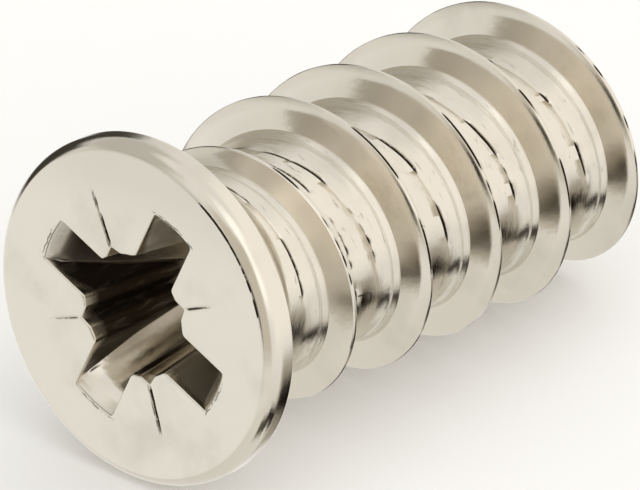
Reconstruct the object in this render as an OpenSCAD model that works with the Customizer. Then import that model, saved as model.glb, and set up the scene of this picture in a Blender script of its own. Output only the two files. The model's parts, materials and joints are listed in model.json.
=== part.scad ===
// Countersunk system screw for furniture: flat head, cross recess with tick
// marks and a deep, coarse thread. It is one piece, and lies on its head rim
// and its thread as it would rest on a table.

/* [Screw] */
// Overall length, head face to tip
length = 13.5; // [10:0.5:25]
// Width of the chamfer round the blunt tip
tip_chamfer = 0.45; // [0.1:0.05:0.8]

/* [Head] */
// Outside diameter of the head
head_d = 7.58; // [7:0.02:10]
// Height of the rim, from the face to the start of the cone
rim_h = 0.75; // [0.6:0.05:1.2]
// How far down the rim is rounded, from the face
edge_h = 0.38; // [0.2:0.01:0.4]
// Angle at which the rounded rim leaves the flat face
edge_angle = 25; // [10:1:40]
// Radius of the rounded edge between the rim and the cone
rim_back_r = 0.12; // [0.05:0.01:0.18]
// Included angle of the countersunk cone
cone_angle = 90; // [80:1:100]

/* [Recess] */
// Diameter across opposite wing ends at the face
recess_d = 5.04; // [4:0.02:5.4]
// Depth of the wings
recess_depth = 3.1; // [2:0.05:3.3]
// Depth of the flared mouth at the wing ends
mouth_depth = 0.42; // [0.2:0.02:0.6]
// Angle of the flared wing ends to the screw axis
mouth_angle = 42; // [30:1:50]
// Width of a wing
wing_w = 1.08; // [0.8:0.02:1.2]
// Angle of the wing ends to the screw axis, below the mouth
wing_taper = 26; // [15:0.5:27]
// Diameter of the hole in the middle of the cross
hub_d = 2.66; // [2.4:0.02:2.9]
// Width that the middle hole has at its bottom, as a share of that at the face
hub_taper = 0.72; // [0.6:0.01:1]
// Angle of the pointed floor of the middle hole to the face
floor_angle = 25; // [10:1:35]
// Radius of the rounded corners between a wing and the middle
corner_r = 0.16; // [0.05:0.01:0.2]
// Height of the small notches between the wings, beyond the middle hole
notch_h = 0.16; // [0.08:0.01:0.25]
// Diameter across the outer ends of the tick marks
tick_d = 5.8; // [4.8:0.05:6.4]
// Width of a tick mark at its inner end
tick_w = 0.12; // [0.05:0.01:0.2]
// Turn of the recess about the screw axis
recess_turn = -22.4; // [-45:0.1:45]

/* [Thread] */
// Outside diameter of the thread
thread_d = 6.3; // [5.6:0.05:6.9]
// Diameter of the core between the threads
core_d = 4.65; // [4:0.05:5]
// Distance from one turn to the next
pitch = 2.23; // [1.8:0.01:2.6]
// Width of the crest
crest_w = 0.1; // [0.06:0.01:0.2]
// Angle of the flank that faces the head
front_flank = 14; // [8:1:20]
// Angle of the flank that faces the tip
rear_flank = 20; // [8:1:24]
// Size of the hollow where a flank meets the core
root_fillet = 0.1; // [0.04:0.01:0.14]
// Distance from the face to the crest where the thread begins
thread_start = 2.12; // [2.05:0.01:3]
// Angle about the axis where the thread begins, from the underside
thread_turn = 36.9; // [0:0.1:360]
// Turns over which the thread rises out of the core
run_in = 1.17; // [0.5:0.01:1.5]
// Turns over which the thread sinks back at the tip
run_out = 0.58; // [0.2:0.01:0.8]

/* [Hidden] */
nickel = [0.78, 0.75, 0.69];
head_r = head_d / 2;
edge_r = edge_h / cos(edge_angle);
face_r = head_r - edge_r * (1 - sin(edge_angle));
thread_r = thread_d / 2;
core_r = core_d / 2;
cone_slope = tan(cone_angle / 2);
cone_run = 0.3;                  // how far the cone runs on inside the shank
bite = 0.01;                     // how far a cut starts outside the face

// Thread profile along one pitch: plain core, front flank, crest, rear flank
ring_count = 48;                 // rings of the thread in one turn
depth = thread_r - core_r;
lead_in = 0.05;
foot_front = lead_in + root_fillet;
crest_front = foot_front + (depth - root_fillet) * tan(front_flank);
crest_rear = crest_front + crest_w;
foot_rear = crest_rear + (depth - root_fillet) * tan(rear_flank);
ridge_w = foot_rear + root_fillet;
crest_mid = (crest_front + crest_rear) / 2;
fillet_share = root_fillet / depth;
rows = [                         // [distance along the pitch, share of the depth]
    [0, 0], [lead_in, 0], [foot_front, fillet_share],
    [crest_front, 1], [crest_rear, 1],
    [foot_rear, fillet_share], [ridge_w, 0],
    [(ridge_w + pitch) / 2, 0], [pitch, 0]
];
last = len(rows) - 1;

// The threaded shank starts inside the head's cone, whole rings before the tip
turns = (length - thread_start) / pitch;
full_to = turns - run_out;
ring_step = pitch / ring_count;
shank_rings = ceil((length - thread_start + crest_mid) / ring_step);
shank_z = length - shank_rings * ring_step;
rings = shank_rings + ring_count;

// The screw tilts until the thread touches what the head's rim rests on
rest_z = rim_h - rim_back_r;
touches = [
    for (k = [1 : floor(turns + thread_turn / 360)])
        let (t = k - thread_turn / 360)
        atan2(head_r - core_r - ridge_height(t),
              thread_start + crest_w / 2 + pitch * t - rest_z)
];
tilt = min(touches);
lift = head_r * cos(tilt) + rest_z * sin(tilt);
tip_x = length * cos(tilt) + (core_r - tip_chamfer) * sin(tilt);
face_x = -face_r * sin(tilt);

function polar(r, a) = [r * cos(a), r * sin(a)];

// Height of the ridge after t turns from the start of the thread
function ridge_height(t) = depth * rise(t) * sink(t);
function rise(t) = t <= 0 ? 0 : t >= run_in ? 1 : 1 - pow(1 - t / run_in, 2);
function sink(t) =
    t <= full_to ? 1 : t >= turns ? 0 : 1 - pow((t - full_to) / run_out, 2);

// Radius of the plain shank, with the chamfer at its tip
function shank_r(z) = min(core_r, core_r - tip_chamfer + length - z);

// Axial place of a row of the profile on ring i. The first turn of rings is
// squeezed against the flat start of the shank, and the last against its tip.
function ring_z(i) = shank_z + (i - ring_count) * ring_step;
function row_z(i, s) =
    i < ring_count
        ? shank_z + s * i / ring_count
        : ring_z(i) + squeeze(s, min(pitch, length - ring_z(i)));
function squeeze(s, room) =
    let (shrink = min(1, room / (ridge_w + foot_front)), ridge = shrink * ridge_w)
    s <= ridge_w ? s * shrink
        : ridge + (s - ridge_w) * (room - ridge) / (pitch - ridge_w);
function ring_turn(i) = (ring_z(i) + crest_mid - thread_start) / pitch;
function row_point(i, j) =
    let (t = ring_turn(i), z = row_z(i, rows[j][0]),
         r = shank_r(z) + rows[j][1] * ridge_height(t))
    [r * cos(thread_turn + 360 * t), r * sin(thread_turn + 360 * t), z];

// Number of a corner of the shank's mesh. Each ring's last row is the first
// row of the ring one turn on, and the two end rings are single points.
tip_corner = (rings - 1) * last + ring_count - 1;
function corner(i, j) =
    i == 0 ? corner(ring_count, 0)
    : i == rings ? tip_corner
    : j < last ? (i - 1) * last + j
    : i + ring_count <= rings ? corner(i + ring_count, 0)
    : tip_corner - rings + i;

module threaded_shank() {
    points = [
        for (i = [1 : rings - 1], j = [0 : last - 1]) row_point(i, j),
        for (i = [rings - ring_count + 1 : rings]) row_point(i, last)
    ];
    skin = [
        for (i = [0 : rings - 1], j = [0 : last - 1]) each [
            if (i > 0) [corner(i, j), corner(i, j + 1), corner(i + 1, j)],
            if (i < rings - 1) [corner(i, j + 1), corner(i + 1, j + 1), corner(i + 1, j)]
        ]
    ];
    start = [for (i = [1 : ring_count]) corner(i, 0)];
    tip = [for (i = [rings : -1 : rings - ring_count + 1]) corner(i, last)];
    polyhedron(points, concat(skin, [start, tip]));
}

// Face, rounded edges, rim and countersunk cone, as one turned profile
module head() {
    steps = 6;
    cone_from = head_r - rim_back_r * (1 - cos(cone_angle / 2));
    cone_z = rest_z + rim_back_r * sin(cone_angle / 2);
    cone_to = core_r - cone_run;
    rotate_extrude($fn = 120)
        polygon(concat(
            [[0, 0]],
            [for (k = [0 : steps])
                let (a = edge_angle + (90 - edge_angle) * k / steps)
                [head_r - edge_r * (1 - sin(a)), edge_h - edge_r * cos(a)]],
            [for (k = [0 : steps])
                [head_r - rim_back_r * (1 - cos(cone_angle / 2 * k / steps)),
                 rest_z + rim_back_r * sin(cone_angle / 2 * k / steps)]],
            [[cone_to, cone_z + (cone_from - cone_to) / cone_slope],
             [0, cone_z + (cone_from - cone_to) / cone_slope]]
        ));
}

// One quarter of the outline of the middle hole: where a wing opens into it, a
// rounded corner, the hole and the notch, then the same in reverse
function hub_quarter(a) =
    let (steps = 4, hub_r = hub_d / 2, half = wing_w / 2,
         cx = sqrt(pow(hub_r + corner_r, 2) - pow(half + corner_r, 2)),
         meet = atan2(half + corner_r, cx),
         notch_from = 45 - atan(notch_h / hub_r) * 1.4,
         side = concat(
             [for (k = [0 : steps])
                 [cx, half + corner_r] + polar(corner_r, -90 - (90 - meet) * k / steps)],
             [polar(hub_r, notch_from)]),
         count = len(side) - 1)
    concat(
        [for (p = side) turned(p, a)],
        [polar(hub_r + notch_h, a + 45)],
        [for (k = [count : -1 : 0]) turned([side[k][1], side[k][0]], a)]
    );
function turned(p, a) = [p[0] * cos(a) - p[1] * sin(a), p[0] * sin(a) + p[1] * cos(a)];

// The wings are two crossing slots whose ends slope in, first at the flared
// mouth and then down to the floor
module wings() {
    mouth_r = recess_d / 2 - mouth_depth * tan(mouth_angle);
    end_r = mouth_r - (recess_depth - mouth_depth) * tan(wing_taper);
    intersection() {
        for (a = [0, 90])
            rotate([0, 0, a])
                translate([-recess_d / 2, -wing_w / 2, -bite])
                    cube([recess_d, wing_w, recess_depth + bite]);
        rotate_extrude($fn = 96)
            polygon([
                [0, -bite], [recess_d / 2 + bite * tan(mouth_angle), -bite],
                [mouth_r, mouth_depth], [end_r, recess_depth], [0, recess_depth]
            ]);
    }
}

module recess() {
    wings();
    translate([0, 0, -bite])
        linear_extrude(recess_depth + bite, scale = hub_taper)
            polygon([for (a = [0 : 90 : 270]) each hub_quarter(a)]);
    hub_end = hub_d / 2 * hub_taper;
    translate([0, 0, recess_depth - bite])
        cylinder(h = hub_end * tan(floor_angle), r1 = hub_end, r2 = 0, $fn = 48);
}

// A V groove that runs out from a notch and fades to nothing
module tick() {
    run = tick_d / 2 - hub_d / 2;
    side = 3 * tick_w;
    translate([tick_d / 2, 0, 0])
        rotate([0, atan(tick_w / 2 / run), 0])
            translate([-run, 0, -side / sqrt(2)])
                rotate([45, 0, 0])
                    translate([0, -side / 2, -side / 2])
                        cube([run, side, side]);
}

module screw() {
    color(nickel)
        translate([-(tip_x + face_x) / 2, 0, lift])
            rotate([0, 90 + tilt, 0])
                difference() {
                    union() {
                        head();
                        threaded_shank();
                    }
                    rotate([0, 0, recess_turn]) {
                        rotate([0, 0, 45]) recess();
                        for (a = [0 : 90 : 270]) rotate([0, 0, a]) tick();
                    }
                }
}

screw();
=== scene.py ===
import json
import math

import bmesh
import bpy
from mathutils import Matrix, Vector, noise

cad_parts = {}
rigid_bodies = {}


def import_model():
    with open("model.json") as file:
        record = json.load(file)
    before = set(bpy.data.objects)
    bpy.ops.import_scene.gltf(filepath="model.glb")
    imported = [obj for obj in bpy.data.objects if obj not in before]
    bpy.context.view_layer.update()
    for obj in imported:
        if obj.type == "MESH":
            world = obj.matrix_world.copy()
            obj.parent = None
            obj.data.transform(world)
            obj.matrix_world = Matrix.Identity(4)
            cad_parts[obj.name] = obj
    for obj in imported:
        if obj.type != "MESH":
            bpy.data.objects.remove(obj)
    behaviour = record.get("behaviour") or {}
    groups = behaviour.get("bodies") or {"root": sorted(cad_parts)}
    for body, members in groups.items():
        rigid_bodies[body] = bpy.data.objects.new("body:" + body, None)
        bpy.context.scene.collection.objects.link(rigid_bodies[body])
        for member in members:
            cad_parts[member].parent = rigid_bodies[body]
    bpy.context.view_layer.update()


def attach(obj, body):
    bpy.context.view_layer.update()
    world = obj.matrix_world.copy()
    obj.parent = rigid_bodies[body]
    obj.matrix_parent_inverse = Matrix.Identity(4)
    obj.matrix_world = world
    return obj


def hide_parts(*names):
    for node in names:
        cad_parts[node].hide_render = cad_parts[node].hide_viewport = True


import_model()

# ---------------------------------------------------------------- sizes, in mm
LENGTH = 13.5                     # head face to tip
TIP_CHAMFER = 0.45
HEAD_R = 3.79
EDGE_H, EDGE_ANGLE = 0.38, 25.0   # rounded edge of the face
CREASE_R = 0.16                   # small rounding where it meets the flat face
RIM_H, RIM_BACK_R = 0.75, 0.12
CONE_ANGLE = 90.0
CORE_R, THREAD_R = 2.325, 3.15
PITCH = 2.23
CREST_W = 0.1
FRONT_FLANK, REAR_FLANK = 14.0, 20.0
ROOT_FILLET = 0.1
THREAD_START, THREAD_TURN = 2.12, 36.9
RUN_IN, RUN_OUT = 1.17, 0.58
TILT, LIFT = 3.57932, 3.82194     # how the screw lies, in degrees and mm
TIP_X, FACE_X = 13.5907, -0.221498

RECESS_R = 2.52                   # wing ends at the face
RECESS_DEPTH = 3.1
MOUTH_R, MOUTH_DEPTH = 2.28, 0.27  # where the flared mouth of a wing ends
WING_HALF, WING_DRAFT = 0.54, 0.012
WING_TAPER = 26.0
HUB_R, HUB_DRAFT = 1.33, 0.12     # middle hole, and how it narrows per mm of depth
FLOOR_ANGLE = 25.0
CORNER_R = 0.16
NOTCH_H = 0.16
TICK_R, TICK_HALF, TICK_DEPTH = 3.0, 0.055, 0.06
RECESS_TURN = 23.2                # turn of the wings
NOTCH_SLIPS = (1.0, -5.0, -2.2, 1.6)  # how far each notch and tick is off the diagonal
LIP_R = 0.035                     # rounded lip where the recess meets the face

TURN_STEPS = 312                  # rings of the thread in one turn
QUARTER = TURN_STEPS // 4         # columns of the recess from one wing to the next
CONE_JOIN = 1.3                   # where the helical strips start on the cone
NECK_BLEND = 0.16
CREST_BLEND = 0.04
HOLLOW_H, HOLLOW_W = 0.17, 0.95   # hollow of the root before the front flank

TICK_SHARES = (0.4, 0.9, 0.55, 1.0)  # how deep each tick is struck
SHADED_WALL_FROM, SHADED_WALL_TO = 11, 71     # columns of the recess wall painted dark as painted shade

# Marks along the root, by share of its width: two rolling laps between raised lips
LAND_ROWS = [
    (0.08, "land"), (0.16, "land"), (0.21, "lap1lip"), (0.24, "lap1"), (0.27, "lap1lip"),
    (0.36, "land"), (0.46, "land"),
    (0.585, "lap2lip"), (0.62, "lap2"), (0.655, "lap2lip"),
    (0.72, "land"), (0.79, "land"), (0.86, "land"), (0.93, "land"),
]
LAP2_AT = 0.62
SEAM_DEPTH, LAP_DEPTH = 0.022, 0.040

# Where the crest seam and the second lap show: middle angle, half width, strength
SEAM_ARCS = ((-126, 27, 1.0), (-45, 20, 1.0), (60, 50, 0.8))
LAP2_ARCS = ((-150, 52, 1.0), (40, 30, 0.6))
EDGE_LINE = (-130, 16, 14)        # painted shade in the face's crease: middle, half width, fade


# ---------------------------------------------------------------- small maths
def lerp(a, b, w):
    return a + (b - a) * w


def smooth(w):
    w = max(0.0, min(1.0, w))
    return w * w * (3 - 2 * w)


def soft_max(a, b, k):
    """Larger of two values, with a rounded change from one to the other."""
    h = max(0.0, k - abs(a - b)) / k
    return max(a, b) + h * h * k / 4


def soft_min(a, b, k):
    return -soft_max(-a, -b, k)


def drift(x, seed):
    """Smooth noise of one value, from about -1 to 1."""
    return noise.noise(Vector((x, 17.3 * seed, 5.1 * seed)))


# ---------------------------------------------------------------- the thread
DEPTH = THREAD_R - CORE_R
LEAD_IN = 0.05
FOOT_FRONT = LEAD_IN + ROOT_FILLET
CREST_FRONT = FOOT_FRONT + (DEPTH - ROOT_FILLET) * math.tan(math.radians(FRONT_FLANK))
CREST_REAR = CREST_FRONT + CREST_W
FOOT_REAR = CREST_REAR + (DEPTH - ROOT_FILLET) * math.tan(math.radians(REAR_FLANK))
RIDGE_W = FOOT_REAR + ROOT_FILLET
CREST_MID = (CREST_FRONT + CREST_REAR) / 2
LAND_W = PITCH - RIDGE_W          # plain root between two ridges


def hollow(gap):
    """Height of the hollow root at some distance before the front flank's foot."""
    return HOLLOW_H * max(0.0, 1 - gap / HOLLOW_W) ** 2.2 / DEPTH


def fillet_rows(foot, edge, steps):
    """The fillet where a flank meets the root, from the root outwards."""
    low = ROOT_FILLET / DEPTH
    return [(lerp(foot, edge, k / steps), low * (k / steps) ** 2) for k in range(steps + 1)]


def flank_rows(foot, crest, shares):
    low = ROOT_FILLET / DEPTH
    return [(lerp(foot, crest, w), lerp(low, 1, w), "") for w in shares]


def profile_rows():
    """(distance along the pitch, share of the depth, mark) for each row."""
    rows = [(0.0, hollow(FOOT_FRONT), "")]
    rows += [(s, max(h, hollow(FOOT_FRONT - s)), "")
             for s, h in fillet_rows(LEAD_IN * 0.4, FOOT_FRONT, 4)]
    rows += flank_rows(FOOT_FRONT, CREST_FRONT, (0.33, 0.66, 0.97))
    rows.append((CREST_FRONT + 0.012, 1.0 - 0.004 / DEPTH, ""))
    rows.append((CREST_FRONT + 0.026, 1.0, "lip"))
    rows.append((CREST_MID, 1.0, "seam"))
    rows.append((CREST_REAR - 0.026, 1.0, "lip"))
    rows.append((CREST_REAR - 0.012, 1.0 - 0.004 / DEPTH, ""))
    rows += flank_rows(FOOT_REAR, CREST_REAR, (0.97, 0.66, 0.33))
    rows += [(s, h, "") for s, h in fillet_rows(RIDGE_W, FOOT_REAR, 4)[::-1]]
    for w, mark in LAND_ROWS:
        rows.append((RIDGE_W + w * LAND_W, hollow(FOOT_FRONT + (1 - w) * LAND_W), mark))
    rows.append((PITCH, hollow(FOOT_FRONT), ""))
    return rows


ROWS = profile_rows()
LAST = len(ROWS) - 1

RING_STEP = PITCH / TURN_STEPS
EDGE_R = EDGE_H / math.cos(math.radians(EDGE_ANGLE))
FACE_R = HEAD_R - EDGE_R * (1 - math.sin(math.radians(EDGE_ANGLE)))
CREASE_FROM_R = FACE_R - CREASE_R * math.tan(math.radians(EDGE_ANGLE / 2))
SHANK_RINGS = math.ceil((LENGTH - CONE_JOIN) / RING_STEP)
SHANK_Z = LENGTH - SHANK_RINGS * RING_STEP
RINGS = SHANK_RINGS + TURN_STEPS
TURNS = (LENGTH - THREAD_START) / PITCH
FULL_TO = TURNS - RUN_OUT
MARKS_END = LENGTH - 0.7
REST_Z = RIM_H - RIM_BACK_R
CONE_SIN = math.sin(math.radians(CONE_ANGLE / 2))
CONE_COS = math.cos(math.radians(CONE_ANGLE / 2))
CONE_FROM_R = HEAD_R - RIM_BACK_R * (1 - CONE_COS)
CONE_FROM_Z = REST_Z + RIM_BACK_R * CONE_SIN
CONE_SLOPE = CONE_SIN / CONE_COS


def ridge_height(t):
    rise = 0.0 if t <= 0 else 1.0 if t >= RUN_IN else 1 - (1 - t / RUN_IN) ** 2
    sink = 1.0 if t <= FULL_TO else 0.0 if t >= TURNS else 1 - ((t - FULL_TO) / RUN_OUT) ** 2
    return DEPTH * rise * sink


def cone_r(z):
    return CONE_FROM_R - (z - CONE_FROM_Z) * CONE_SLOPE


def shank_r(z):
    return soft_min(CORE_R, CORE_R - TIP_CHAMFER + LENGTH - z, 0.06)


def ring_z(i):
    return SHANK_Z + (i - TURN_STEPS) * RING_STEP


def squeeze(s, room):
    shrink = min(1.0, room / (RIDGE_W + FOOT_FRONT))
    ridge = shrink * RIDGE_W
    if s <= RIDGE_W:
        return s * shrink
    return ridge + (s - RIDGE_W) * (room - ridge) / (PITCH - RIDGE_W)


def row_z(i, s):
    if i < TURN_STEPS:
        return SHANK_Z + s * i / TURN_STEPS
    return ring_z(i) + squeeze(s, min(PITCH, LENGTH - ring_z(i)))


def ring_turn(i):
    return (ring_z(i) + CREST_MID - THREAD_START) / PITCH


def lap_wander(t, w):
    """How far the second lap strays along the root, as a share of its width."""
    angle = math.radians(THREAD_TURN + 360 * t + 140)
    stray = 0.17 * math.sin(angle) + 0.03 * drift(t * 9, 11)
    return stray * max(0.0, 1 - abs(w - LAP2_AT) / (1 - LAP2_AT)) ** 0.7


def apart(a, b):
    """Angle between two directions, in degrees."""
    return abs((a - b + 180) % 360 - 180)


def arcs(t, shown):
    """Strength at turn t of a mark that shows on some arcs and fades beside them."""
    a = THREAD_TURN + 360 * t
    return max(strength * (1 - smooth((apart(a, middle) - half) / 12))
               for middle, half, strength in shown)


def mark_here(mark, t):
    """How strong a seam or lap is at this turn, from 0 to 1."""
    broken = smooth(0.62 + 1.3 * drift(t * 17, 9) + 0.7 * drift(t * 53, 12))
    if mark == "seam":
        return arcs(t, SEAM_ARCS) * broken
    if mark == "lap1":
        return smooth(0.30 + 1.8 * drift(t * 5.1, 1)) * broken
    return arcs(t, LAP2_ARCS) * max(0.25, broken)


def fine_relief(mark, t, z, s):
    """Height in mm of the fine marks that the rolling dies left, and the painted shade in and
    beside them.
    """
    if z > MARKS_END or t < -1.2 or not mark:
        return 0.0, 0.0
    fade = smooth((MARKS_END - z) / 0.5)
    # the second value is painted shade, darkest in the seam and laps, lighter on their lips
    if mark == "seam":
        h = mark_here("seam", t) * smooth(t / 0.3)
        return -SEAM_DEPTH * h * fade, 1.4 * h * fade
    if mark == "lip":
        return 0.006 * drift(t * 23, 5 + s) * fade, 0.75 * mark_here("seam", t) * fade
    wave = 0.010 * drift(t * 13 + s * 2, 7) + 0.006 * drift(t * 41 + s * 5, 8)
    if mark == "land":
        return wave * fade, 0.0
    strength = mark_here(mark[:4], t)
    if mark.endswith("lip"):
        return (wave + 0.010 * strength * smooth(0.5 + drift(t * 37, 4))) * fade, 0.15 * strength
    return (wave - LAP_DEPTH * strength) * fade, strength * fade


def shank_point(i, j):
    """Place of a corner, its painted shade in the grooves, and how far from the plain root it
    is.
    """
    t = ring_turn(i)
    s, share, mark = ROWS[j]
    land = s > RIDGE_W
    if land and i >= TURN_STEPS and ring_z(i) + PITCH < LENGTH - 0.6:
        w = (s - RIDGE_W) / LAND_W
        s += lap_wander(t, w) * LAND_W
    z = row_z(i, s)
    base = soft_max(shank_r(z), cone_r(z), NECK_BLEND)
    ridge = shank_r(z) + share * ridge_height(t + 1 if land else t)
    rounded = share > 0 and base > CORE_R + 0.02
    r = soft_max(base, ridge, CREST_BLEND) if rounded else max(base, ridge)
    # the second value is painted shade in the seam and laps
    up, groove_shade = fine_relief(mark, t, z, s)
    r += up
    angle = math.radians(THREAD_TURN + 360 * t)
    root = 1.0 if share < 0.2 and z < LENGTH - 0.3 else 0.0
    return (r * math.cos(angle), r * math.sin(angle), z), (groove_shade, root, 0.0)


# ---------------------------------------------------------------- the recess
def octant_outline():
    """The cross from the middle of a wing's end to the diagonal, as (x, y)."""
    points = []
    end_round = 0.07
    y_end = WING_HALF - end_round
    x_end = math.sqrt(RECESS_R ** 2 - y_end ** 2)
    for k in range(6):
        y = y_end * k / 6
        points.append((math.sqrt(RECESS_R ** 2 - y * y), y))
    for k in range(4):
        a = math.radians(90 * k / 3)
        points.append((x_end - end_round + end_round * math.cos(a),
                       y_end + end_round * math.sin(a)))
    cx = math.sqrt((HUB_R + CORNER_R) ** 2 - (WING_HALF + CORNER_R) ** 2)
    meet = math.atan2(WING_HALF + CORNER_R, cx)
    x_side = x_end - end_round
    for k in range(1, 11):
        points.append((lerp(x_side, cx, k / 11), WING_HALF))
    for k in range(5):
        a = -math.pi / 2 - (math.pi / 2 - meet) * k / 4
        points.append((cx + CORNER_R * math.cos(a),
                       WING_HALF + CORNER_R + CORNER_R * math.sin(a)))
    notch_from = math.radians(45) - math.atan(NOTCH_H / HUB_R) * 1.4
    for k in range(1, 5):
        a = lerp(meet, notch_from, k / 5)
        points.append((HUB_R * math.cos(a), HUB_R * math.sin(a)))
    for w in (0, 0.16, 0.32, 0.46, 0.58, 0.68, 0.77, 0.84, 0.90, 0.95, 1.0):
        a = lerp(notch_from, math.radians(45), w)
        r = HUB_R + NOTCH_H * w ** 1.3
        points.append((r * math.cos(a), r * math.sin(a)))
    return points


def full_outline():
    half = octant_outline()
    quarter = half + [(y, x) for x, y in half[-2:0:-1]]
    points = []
    for k in range(4):
        for x, y in quarter:
            a, r = math.atan2(y, x), math.hypot(x, y)
            slip = math.radians(NOTCH_SLIPS[k]) * smooth((math.sin(2 * a) - 0.70) / 0.25)
            a += slip + math.pi / 2 * k
            points.append((r * math.cos(a), r * math.sin(a)))
    return points


FLOOR_R = MOUTH_R - (RECESS_DEPTH - MOUTH_DEPTH) * math.tan(math.radians(WING_TAPER))


def recess_floor(r):
    """Depth of the recess below the face at distance r from its middle."""
    if r >= MOUTH_R:
        return (RECESS_R - r) * MOUTH_DEPTH / (RECESS_R - MOUTH_R)
    if r >= FLOOR_R:
        return MOUTH_DEPTH + (MOUTH_R - r) / math.tan(math.radians(WING_TAPER))
    return RECESS_DEPTH + (FLOOR_R - r) * math.tan(math.radians(FLOOR_ANGLE))


def wall_point(point, depth):
    """Where the wall that starts at a point of the outline is at some depth."""
    x, y = point
    r = math.hypot(x, y)
    hub = 1 - smooth((r - HUB_R - NOTCH_H) / 0.25)
    shrink = 1 - hub * HUB_DRAFT / HUB_R * depth
    if abs(x) > abs(y):
        y *= 1 - (1 - hub) * WING_DRAFT / WING_HALF * depth
    else:
        x *= 1 - (1 - hub) * WING_DRAFT / WING_HALF * depth
    return x * shrink, y * shrink


def wall_foot(point):
    """Depth at which a wall meets the floor."""
    low, high = 0.0, RECESS_DEPTH + 1
    for _ in range(30):
        depth = (low + high) / 2
        if recess_floor(math.hypot(*wall_point(point, depth))) > depth:
            low = depth
        else:
            high = depth
    return max(low, LIP_R * 1.05)


def tick_depth(x, y):
    """Depth of the four tick marks, which run out from the notches."""
    r = math.hypot(x, y)
    if r > TICK_R or r < HUB_R:
        return 0.0
    a = math.degrees(math.atan2(y, x)) % 360
    quarter = int(a // 90)
    across = r * abs(math.sin(math.radians(a - 90 * quarter - 45 - NOTCH_SLIPS[quarter])))
    fade = 1 - smooth((r - 1.7) / (TICK_R - 1.7)) * 0.6
    half = TICK_HALF * fade
    deep = TICK_DEPTH * TICK_SHARES[quarter] * fade * smooth((TICK_R - r) / 0.3)
    return deep * max(0.0, 1 - across / half)


def edge_line(a):
    """Painted shade in the crease round the face, on one side only."""
    middle, half, fade = EDGE_LINE
    here = 1 - smooth((apart(math.degrees(a), middle) - half) / fade)
    return here * smooth(0.78 + 1.1 * drift(a * 16, 21))


def dust_share(z):
    """Share of pale dust at depth z on a wing's end, least at the lip and deep down."""
    return smooth((z - 0.03) / 0.15) * (1 - smooth((z - 0.9) / 0.9))


def recess_shade_and_dust(k, z, wall):
    """Painted shade in the recess on column k at depth z, darkest on one side; dust is negative.
    """
    # painted shade: darker deeper down, over one whole wall, and lighter on the walls a quarter
    # turn on
    dark = 0.18 * smooth((z - 0.5) / 2.2)
    if wall and SHADED_WALL_FROM <= k <= SHADED_WALL_TO:
        dark = max(dark, smooth((z - 0.02) / 0.10))
    elif abs(k - QUARTER) < 22:
        dark = max(dark, 0.36 * smooth(z / 0.08))
    elif abs(k - 2 * QUARTER) < 24:
        dark = -0.8 * dust_share(z)
    elif abs(k - 3 * QUARTER) < 24:
        dark = -0.35 * dust_share(z)
    return dark


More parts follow.
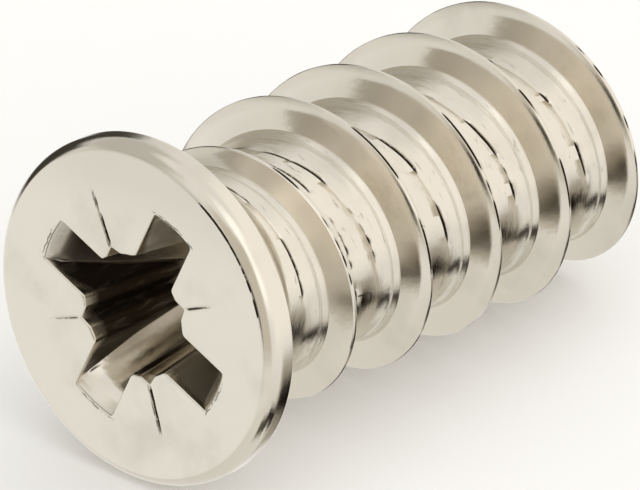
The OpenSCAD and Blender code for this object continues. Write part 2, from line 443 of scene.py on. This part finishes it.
def head_rings():
    """Closed rings of (x, y, z) from the bottom of the recess to the cone."""
    outline = full_outline()
    n = len(outline)
    assert n == TURN_STEPS, n
    phase = THREAD_TURN + 360 * ring_turn(1)
    # column k of the recess goes to ring (k + shift) of the thread's start
    shift = round((RECESS_TURN - phase) / 360 * n)
    start = math.radians(phase + 360 * shift / n)
    even = [start + 2 * math.pi * k / n for k in range(n)]
    turn = math.radians(RECESS_TURN)
    c, s = math.cos(turn), math.sin(turn)
    part = "floor"

    depths = [wall_foot(p) for p in outline]
    feet = [wall_point(p, z) for p, z in zip(outline, depths)]

    def ring(points):
        """Turned points with their marks: painted shade in a tick, painted shade and dust in the
        recess.
        """
        out = []
        for k, (x, y, z) in enumerate(points):
            # a tick's painted shade is darker where the tick is deeper
            mark = ((0.0, 0.0, recess_shade_and_dust(k, z, part == "wall")) if part != "face" else
                    (min(1.0, 1.3 * z / TICK_DEPTH), 0.0, 0.0))
            out.append(((x * c - y * s, x * s + y * c, z), mark))
        return out

    def floor_ring(radii):
        return ring([(x / math.hypot(x, y) * r, y / math.hypot(x, y) * r,
                      max(recess_floor(r), LIP_R * 1.05))
                     for (x, y), r in zip(feet, radii)])

    # floor, then the wings' sloping ends, then their flared mouth
    foot_r = [math.hypot(x, y) for x, y in feet]
    inner_r = [min(FLOOR_R, d * 0.97) for d in foot_r]
    breaks = [min(MOUTH_R, lerp(d, i, 0.12)) for d, i in zip(foot_r, inner_r)]
    rings = [floor_ring([i * m / 5 for i in inner_r]) for m in range(1, 6)]
    rings += [floor_ring([lerp(i, b, m / 10) for i, b in zip(inner_r, breaks)])
              for m in range(1, 11)]
    rings += [floor_ring([lerp(b, d, m / 4) for b, d in zip(breaks, foot_r)])
              for m in range(1, 5)]
    # walls, up to the rounded lip
    normals = []
    for k in range(n):
        ax, ay = outline[k - 1]
        bx, by = outline[(k + 1) % n]
        d = math.hypot(bx - ax, by - ay)
        normals.append(((by - ay) / d, -(bx - ax) / d))
    part = "wall"
    for m in range(1, 9):
        pts = []
        for point, deep in zip(outline, depths):
            z = lerp(deep, LIP_R, m / 8)
            pts.append((*wall_point(point, z), z))
        rings.append(ring(pts))
    for m in range(1, 4):
        a = math.radians(90 * m / 3)
        out, z = LIP_R * (1 - math.cos(a)), LIP_R * (1 - math.sin(a))
        rings.append(ring([(x + nx * out, y + ny * out, z)
                           for (x, y), (nx, ny) in zip(outline, normals)]))
    part = "face"
    lip = [(x + nx * LIP_R, y + ny * LIP_R) for (x, y), (nx, ny) in zip(outline, normals)]
    steps = 17
    for m in range(1, steps + 1):
        w = m / steps
        pts = []
        for k, (x, y) in enumerate(lip):
            d = math.hypot(x, y)
            r = lerp(d, CREASE_FROM_R, w)
            a0 = math.atan2(y, x)
            a1 = even[k] - turn
            gap = (a1 - a0 + math.pi) % (2 * math.pi) - math.pi
            a = a0 + gap * w * w
            px, py = r * math.cos(a), r * math.sin(a)
            pts.append((px, py, tick_depth(px, py)))
        rings.append(ring(pts))

    def lathe(r, z, crease_shade=0.0):
        # the last argument scales the painted shade along the face's crease
        rings.append([((r * math.cos(a), r * math.sin(a), z),
                       (crease_shade * edge_line(a), 0.0, 0.0)) for a in even])

    for k in range(1, 5):
        a = math.radians(EDGE_ANGLE * k / 4)
        lathe(CREASE_FROM_R + CREASE_R * math.sin(a), CREASE_R * (1 - math.cos(a)),
              1.0 if k < 4 else 0.0)
    for k in range(1, 9):
        a = math.radians(lerp(EDGE_ANGLE, 90, k / 8))
        lathe(HEAD_R - EDGE_R * (1 - math.sin(a)), EDGE_H - EDGE_R * math.cos(a))
    for k in range(1, 3):
        lathe(HEAD_R, lerp(EDGE_H, REST_Z, k / 3))
    for k in range(6):
        a = math.radians(CONE_ANGLE / 2 * k / 5)
        lathe(HEAD_R - RIM_BACK_R * (1 - math.cos(a)), REST_Z + RIM_BACK_R * math.sin(a))
    for k in range(1, 6):
        z = lerp(CONE_FROM_Z, SHANK_Z, k / 6)
        lathe(cone_r(z), z)
    return rings, shift


# ---------------------------------------------------------------- one closed mesh
def to_world(p):
    t = math.radians(TILT)
    x, y, z = p
    return Vector((-x * math.sin(t) + z * math.cos(t) - (TIP_X + FACE_X) / 2,
                   y,
                   -x * math.cos(t) - z * math.sin(t) + LIFT)) / 1000


def build_screw():
    """Head, recess and threaded shank as one closed skin."""
    points, faces = [], []
    helix, marks = [], []         # (turns, pitches) and (painted shade in grooves, root, painted shade and dust in the recess)

    # shank: rows of each ring; a ring's last row is the first of the one a turn on
    index = {}

    def corner(i, j):
        if i == 0:
            return corner(TURN_STEPS, 0)
        if i == RINGS:
            return index["tip", TURN_STEPS - 1]
        if j < LAST:
            return index[i, j]
        if i + TURN_STEPS <= RINGS:
            return corner(i + TURN_STEPS, 0)
        return index["tip", i - (RINGS - TURN_STEPS + 1)]

    for i in range(1, RINGS):
        for j in range(LAST):
            index[i, j] = len(points)
            place, mark = shank_point(i, j)
            points.append(place)
            marks.append(mark)
            helix.append((ring_turn(i), ROWS[j][0] / PITCH))
    for k, i in enumerate(range(RINGS - TURN_STEPS + 1, RINGS + 1)):
        index["tip", k] = len(points)
        place, mark = shank_point(i, LAST)
        points.append(place)
        marks.append(mark)
        helix.append((ring_turn(i), 1.0))
    for i in range(RINGS):
        for j in range(LAST):
            a, b = corner(i, j), corner(i, j + 1)
            c, d = corner(i + 1, j + 1), corner(i + 1, j)
            quad = [a]
            for v in (b, c, d):
                if v not in quad:
                    quad.append(v)
            if len(quad) > 2:
                faces.append(quad)

    # head: rings from the recess to the strips' first row
    rings, shift = head_rings()
    n = TURN_STEPS
    first = len(points)
    for ring_points in rings:
        for place, mark in ring_points:
            points.append(place)
            marks.append(mark)
        helix.extend([(0.0, 0.0)] * n)
    middle = len(points)
    points.append((0.0, 0.0, recess_floor(0.0)))
    helix.append((0.0, 0.0))
    # painted shade at the middle of the recess
    marks.append((0.0, 0.0, recess_shade_and_dust(0, recess_floor(0.0), False)))

    def head_corner(m, k):
        if m < len(rings):
            return first + m * n + k % n
        return corner(1 + (k + shift) % n, 0)

    for k in range(n):
        faces.append([middle, head_corner(0, k), head_corner(0, k + 1)])
    for m in range(len(rings)):
        for k in range(n):
            faces.append([head_corner(m, k), head_corner(m + 1, k),
                          head_corner(m + 1, k + 1), head_corner(m, k + 1)])

    # flat tip
    rim = tip_ring = [index["tip", k] for k in range(n)]
    for share in (0.8, 0.5, 0.2):
        inner = []
        for v in rim:
            inner.append(len(points))
            x, y, z = points[v]
            points.append((x * share, y * share, z))
            helix.append((0.0, 0.0))
            marks.append((0.0, 0.0, 0.0))
        for k in range(n):
            faces.append([tip_ring[k], tip_ring[(k + 1) % n], inner[(k + 1) % n], inner[k]])
        tip_ring = inner
    centre = len(points)
    points.append((0.0, 0.0, LENGTH))
    helix.append((0.0, 0.0))
    marks.append((0.0, 0.0, 0.0))
    for k in range(n):
        faces.append([tip_ring[k], tip_ring[(k + 1) % n], centre])

    mesh = bpy.data.meshes.new("screw_body")
    mesh.from_pydata([to_world(p) for p in points], [], faces)
    for name, values in (("helix", [(t, s, 0.0) for t, s in helix]), ("marks", marks),
                         ("local", points)):
        layer = mesh.attributes.new(name, "FLOAT_VECTOR", "POINT")
        layer.data.foreach_set("vector", [c for value in values for c in value])
    screw = bpy.data.objects.new("screw_body", mesh)
    bpy.context.scene.collection.objects.link(screw)
    return screw


def finish_shading(obj, limit=32.0):
    """Outward normals, smooth faces, and sharp edges where the form is sharp."""
    bm = bmesh.new()
    bm.from_mesh(obj.data)
    bmesh.ops.recalc_face_normals(bm, faces=bm.faces)
    cut = math.radians(limit)
    for face in bm.faces:
        face.smooth = True
    for edge in bm.edges:
        edge.smooth = not (edge.is_manifold and edge.calc_face_angle(0.0) > cut)
    bm.to_mesh(obj.data)
    open_edges = sum(1 for e in bm.edges if not e.is_manifold)
    print("screw_body: faces", len(bm.faces), "triangles",
          sum(len(f.verts) - 2 for f in bm.faces), "open edges", open_edges,
          "volume mm3", round(bm.calc_volume() * 1e9, 1))
    bm.free()


# ---------------------------------------------------------------- materials
class Nodes:
    """Short ways to add shader nodes to one tree."""

    def __init__(self, tree):
        self.tree = tree

    def put(self, socket, value):
        if isinstance(value, bpy.types.NodeSocket):
            self.tree.links.new(value, socket)
        else:
            socket.default_value = value

    def math(self, operation, *values):
        node = self.tree.nodes.new("ShaderNodeMath")
        node.operation = operation
        for socket, value in zip(node.inputs, values):
            self.put(socket, value)
        return node.outputs[0]

    def total(self, *values):
        result = values[0]
        for value in values[1:]:
            result = self.math("ADD", result, value)
        return result

    def step(self, value, low, high, to_low=0.0, to_high=1.0):
        node = self.tree.nodes.new("ShaderNodeMapRange")
        node.interpolation_type = "SMOOTHSTEP"
        for name, number in (("From Min", low), ("From Max", high),
                             ("To Min", to_low), ("To Max", to_high)):
            node.inputs[name].default_value = number
        self.put(node.inputs["Value"], value)
        return node.outputs["Result"]

    def noise(self, vector, scale, detail=3.0, rough=0.55, warp=0.0):
        node = self.tree.nodes.new("ShaderNodeTexNoise")
        self.put(node.inputs["Vector"], vector)
        node.inputs["Scale"].default_value = scale
        node.inputs["Detail"].default_value = detail
        node.inputs["Roughness"].default_value = rough
        node.inputs["Distortion"].default_value = warp
        return node.outputs[0]

    def mix(self, weight, first, second):
        node = self.tree.nodes.new("ShaderNodeMix")
        node.data_type = "RGBA"
        self.put(node.inputs[0], weight)
        for socket, value in ((node.inputs[6], first), (node.inputs[7], second)):
            self.put(socket, (*value, 1) if isinstance(value, tuple) else value)
        return node.outputs[2]

    def stretched(self, vector, factors):
        node = self.tree.nodes.new("ShaderNodeVectorMath")
        node.operation = "MULTIPLY"
        self.put(node.inputs[0], vector)
        node.inputs[1].default_value = factors
        return node.outputs[0]

    def attribute(self, name):
        node = self.tree.nodes.new("ShaderNodeAttribute")
        node.attribute_name = name
        return node.outputs["Vector"]

    def split(self, vector):
        node = self.tree.nodes.new("ShaderNodeSeparateXYZ")
        self.put(node.inputs[0], vector)
        return node.outputs


FLANK_ROUGH = 0.14
NICKEL = (0.69, 0.645, 0.565)
# the dull nickel also paints shade on the face's top; the recess colour is painted shade, and
# the last colour paints shade in the grooves, the root's specks and the burrs
NICKEL_DULL_AND_SHADED = (0.615, 0.575, 0.50)
RECESS_SHADE = (0.062, 0.047, 0.034)
GROOVE_SHADE_AND_STAIN = (0.025, 0.018, 0.011)


def nickel_material():
    """Bright nickel: smooth flanks, scratched roots, painted shade darkening the recess and the
    fine seams.
    """
    mat = bpy.data.materials.new("nickel")
    mat.use_nodes = True
    n = Nodes(mat.node_tree)
    # marks: painted shade in grooves, root, and painted shade with dust in the recess
    groove_shade, root, shade_and_dust = n.split(n.attribute("marks"))
    local = n.attribute("local")
    helix = n.attribute("helix")
    height = n.split(local)[2]
    face = n.step(height, 0.06, 0.0)

    cloudy = n.noise(local, 0.55, 5)
    grain = n.noise(local, 14.0, 3)
    along = n.noise(n.stretched(helix, (26.0, 16.0, 1.0)), 1.0, 4, 0.6, 0.3)
    streaks = n.noise(n.stretched(helix, (9.0, 60.0, 1.0)), 1.0, 3, 0.6)

    # colour: cloudy nickel, with painted shade on the face's top, in the recess and in the fine
    # grooves, and dark specks on the root
    # painted shade: the face darker towards its top
    face_top_shade = n.math("MULTIPLY", face, n.step(n.split(local)[0], -1.5, -3.3, 0.0, 0.9))
    color = n.mix(n.math("MAXIMUM", face_top_shade, n.step(cloudy, 0.45, 0.75)), NICKEL, NICKEL_DULL_AND_SHADED)
    scrape = n.noise(n.stretched(local, (3.0, 3.0, 0.5)), 1.6, 4, 0.6, 0.4)
    dust = n.math("MAXIMUM", n.math("MULTIPLY", shade_and_dust, -1.0), 0.0)
    # painted shade in the recess, broken up by scraping noise
    hollow = n.math("MULTIPLY", n.math("MAXIMUM", shade_and_dust, 0.0),
                    n.step(scrape, 0.48, 0.76, 1.0, 0.7))
    color = n.mix(hollow, color, RECESS_SHADE)
    speck = n.math("MULTIPLY", root, n.step(along, 0.60, 0.72))
    # painted shade in the grooves, mottled, joined with real dark specks on the root
    spotty_groove_shade = n.math("MULTIPLY", groove_shade, n.step(grain, 0.2, 0.5, 0.5, 1.3))
    groove_shade_and_specks = n.math("MAXIMUM", n.step(spotty_groove_shade, 0.25, 0.75), n.math("MULTIPLY", speck, 0.35))
    color = n.mix(groove_shade_and_specks, color, GROOVE_SHADE_AND_STAIN)

    # burrs and a faint second outline round the wing ends
    turn = math.radians(RECESS_TURN)
    x, y, _ = n.split(local)
    ax = n.math("ABSOLUTE", n.total(n.math("MULTIPLY", x, math.cos(turn)),
                                    n.math("MULTIPLY", y, math.sin(turn))))
    ay = n.math("ABSOLUTE", n.total(n.math("MULTIPLY", y, math.cos(turn)),
                                    n.math("MULTIPLY", x, -math.sin(turn))))
    from_axis = n.math("SQRT", n.total(n.math("MULTIPLY", x, x), n.math("MULTIPLY", y, y)))
    waver = n.noise(local, 5.0, 3)
    ring_r = n.total(from_axis, n.math("MULTIPLY", waver, 0.12))
    band = n.math("MULTIPLY", n.step(ring_r, 2.600, 2.620), n.step(ring_r, 2.655, 2.635))
    near = n.step(n.math("MINIMUM", ax, ay), WING_HALF + 0.12, WING_HALF)
    burr = n.math("MULTIPLY", n.math("MULTIPLY", band, near), n.math(
        "MULTIPLY", face, n.step(n.noise(local, 2.6, 3), 0.44, 0.56)))
    color = n.mix(n.math("MULTIPLY", burr, 0.7), color, GROOVE_SHADE_AND_STAIN)

    # roughness
    head = n.step(height, 1.9, 1.6)
    rough = n.total(FLANK_ROUGH,
                    n.math("MULTIPLY", n.math("MAXIMUM", head, root), -0.04),
                    n.step(cloudy, 0.35, 0.75, 0.0, 0.07),
                    n.math("MULTIPLY", root, n.step(along, 0.3, 0.7, 0.0, 0.06)),
                    n.math("MULTIPLY", face, 0.12),
                    n.math("MULTIPLY", hollow, 0.28),
                    n.math("MULTIPLY", dust, n.step(scrape, 0.3, 0.7, 0.7, 0.45)),
                    n.math("MULTIPLY", groove_shade_and_specks, 0.3))

    # relief, in mm
    relief = n.total(n.math("MULTIPLY", n.noise(local, 3.2, 2), 0.0030),
                     n.math("MULTIPLY", grain, 0.0006),
                     n.math("MULTIPLY", root, n.total(
                         n.math("MULTIPLY", along, 0.006),
                         n.math("MULTIPLY", streaks, 0.0016))))
    bump = mat.node_tree.nodes.new("ShaderNodeBump")
    bump.inputs["Strength"].default_value = 1.0
    bump.inputs["Distance"].default_value = 0.001
    n.put(bump.inputs["Height"], relief)

    bsdf = mat.node_tree.nodes["Principled BSDF"]
    bsdf.inputs["Metallic"].default_value = 1.0
    n.put(bsdf.inputs["Base Color"], color)
    n.put(bsdf.inputs["Roughness"], rough)
    n.put(bsdf.inputs["Normal"], bump.outputs["Normal"])
    return mat


# ---------------------------------------------------------------- stage
def plain_material(name, color, rough):
    mat = bpy.data.materials.new(name)
    mat.use_nodes = True
    bsdf = mat.node_tree.nodes["Principled BSDF"]
    bsdf.inputs["Base Color"].default_value = (*color, 1)
    bsdf.inputs["Roughness"].default_value = rough
    return mat


def make_floor():
    mesh = bpy.data.meshes.new("floor")
    size = 0.5
    mesh.from_pydata([(-size, -size, 0), (size, -size, 0), (size, size, 0), (-size, size, 0)],
                     [], [(0, 1, 2, 3)])
    floor = bpy.data.objects.new("floor", mesh)
    bpy.context.scene.collection.objects.link(floor)
    paper = plain_material("floor_white", (0.94, 0.94, 0.94), 0.9)
    bsdf = paper.node_tree.nodes["Principled BSDF"]
    bsdf.inputs["Emission Color"].default_value = (1, 1, 1, 1)
    path = paper.node_tree.nodes.new("ShaderNodeLightPath")
    glow = Nodes(paper.node_tree).math("MULTIPLY", path.outputs["Is Camera Ray"], 0.07)
    paper.node_tree.links.new(glow, bsdf.inputs["Emission Strength"])
    mesh.materials.append(paper)
    floor.visible_glossy = False
    return floor


def make_world():
    """A soft studio: pale all round, with broad lamps and darker zones for the metal."""
    world = bpy.data.worlds.new("studio")
    bpy.context.scene.world = world
    world.use_nodes = True
    tree = world.node_tree
    tree.nodes.clear()
    new, link = tree.nodes.new, tree.links.new
    n = Nodes(tree)
    x, y, z = n.split(new("ShaderNodeTexCoord").outputs["Generated"])
    lat = n.math("ARCSINE", z)
    flat = n.math("SQRT", n.math("SUBTRACT", 1.0001, n.math("MULTIPLY", z, z)))
    color = STUDIO_BASE
    for az, az_in, az_out, low, high, soft, tint in STUDIO_ZONES:
        turn = math.radians(az + STUDIO_TURN)
        aim = n.math("DIVIDE", n.total(n.math("MULTIPLY", x, math.cos(turn)),
                                       n.math("MULTIPLY", y, math.sin(turn))), flat)
        weight = n.step(aim, math.cos(math.radians(az_out)), math.cos(math.radians(az_in)))
        up = n.step(lat, math.radians(low - soft), math.radians(low + soft))
        down = n.step(lat, math.radians(high + soft), math.radians(high - soft))
        weight = n.math("MULTIPLY", n.math("MULTIPLY", up, down), weight)
        color = n.mix(weight, color, tint)

    light = new("ShaderNodeBackground")
    link(color, light.inputs["Color"])
    white = new("ShaderNodeBackground")
    path = new("ShaderNodeLightPath")
    pick = new("ShaderNodeMixShader")
    link(path.outputs["Is Camera Ray"], pick.inputs[0])
    link(light.outputs[0], pick.inputs[1])
    link(white.outputs[0], pick.inputs[2])
    out = new("ShaderNodeOutputWorld")
    link(pick.outputs[0], out.inputs["Surface"])


# Studio surroundings: azimuth from the photographer's side (left is negative), half widths
# of the full and the faded part, lowest and highest elevation, softness, and colour.
# Half widths of 179 and 180 go all the way round, and a later zone lies over an earlier one.
STUDIO_TURN = -139.0
STUDIO_BASE = (1.06, 1.05, 1.03)
STUDIO_ZONES = [
    (0, 179, 180, -95, -40, 6, (0.93, 0.92, 0.88)),
    (-95, 35, 60, -34, 35, 8, (1.12, 1.12, 1.11)),
    (-88, 32, 52, 0, 36, 7, (0.98, 0.975, 0.95)),
    (-125, 42, 72, 20, 62, 8, (0.68, 0.67, 0.63)),
    (40, 15, 45, 10, 70, 14, (1.55, 1.53, 1.50)),
    (95, 35, 60, -14, 50, 10, (1.24, 1.21, 1.16)),
    (-8, 20, 36, -20, 48, 9, (0.76, 0.71, 0.62)),
    (118, 20, 40, -56, -24, 7, (0.44, 0.40, 0.34)),
    (122, 18, 26, -47.5, -33.5, 4, (0.005, 0.003, 0.002)),
    (46, 22, 34, -66, -53, 4, (0.12, 0.105, 0.08)),
    (82, 24, 34, -58, -48, 4, (0.02, 0.016, 0.012)),
    (-42, 17, 25, -13, 5, 5, (0.01, 0.01, 0.008)),
    (-150, 25, 33, -16, 18, 5, (0.06, 0.055, 0.045)),
]


# ---------------------------------------------------------------- camera
CAM_AXIS = Vector((0.65474, -0.30336, 0.69231))   # screw axis: right, down, forward
CAM_HEAD = Vector((-3.857, 1.460, 341.149))      # head face's middle, the same way, mm
CAM_LENS = 16561.4 / 640 * 36


def make_camera():
    t = math.radians(TILT)
    axis = CAM_AXIS.normalized()
    level = math.hypot(axis.y, axis.z)
    e = math.atan2(-axis.y, axis.z) - math.asin(-math.sin(t) / level)
    up = Vector((0, -math.cos(e), -math.sin(e)))
    u_cam = axis.cross(up).normalized()
    v_cam = u_cam.cross(axis)
    a_w = Vector((math.cos(t), 0, -math.sin(t)))
    u_w = Vector((0, -1, 0))
    v_w = Vector((math.sin(t), 0, math.cos(t)))
    to_w = Matrix((a_w, u_w, v_w)).transposed() @ Matrix((axis, u_cam, v_cam))
    head = Vector((-(TIP_X + FACE_X) / 2, 0, LIFT))
    place = (head - to_w @ CAM_HEAD) / 1000
    right, down, forward = (to_w @ Vector(v) for v in ((1, 0, 0), (0, 1, 0), (0, 0, 1)))
    cam = bpy.data.cameras.new("camera")
    cam.sensor_width = 36
    cam.lens = CAM_LENS
    cam.clip_start, cam.clip_end = 0.05, 5
    obj = bpy.data.objects.new("camera", cam)
    bpy.context.scene.collection.objects.link(obj)
    turn = Matrix((right, -down, -forward)).transposed()
    obj.matrix_world = Matrix.Translation(place) @ turn.to_4x4()
    bpy.context.scene.camera = obj
    print("camera at", [round(v, 4) for v in place], "elevation", round(math.degrees(e), 2))
    return obj


screw = build_screw()
finish_shading(screw)
screw.data.materials.append(nickel_material())
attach(screw, "root")
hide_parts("screw")
make_floor()
make_world()
make_camera()

bpy.context.scene.view_settings.view_transform = "Standard"
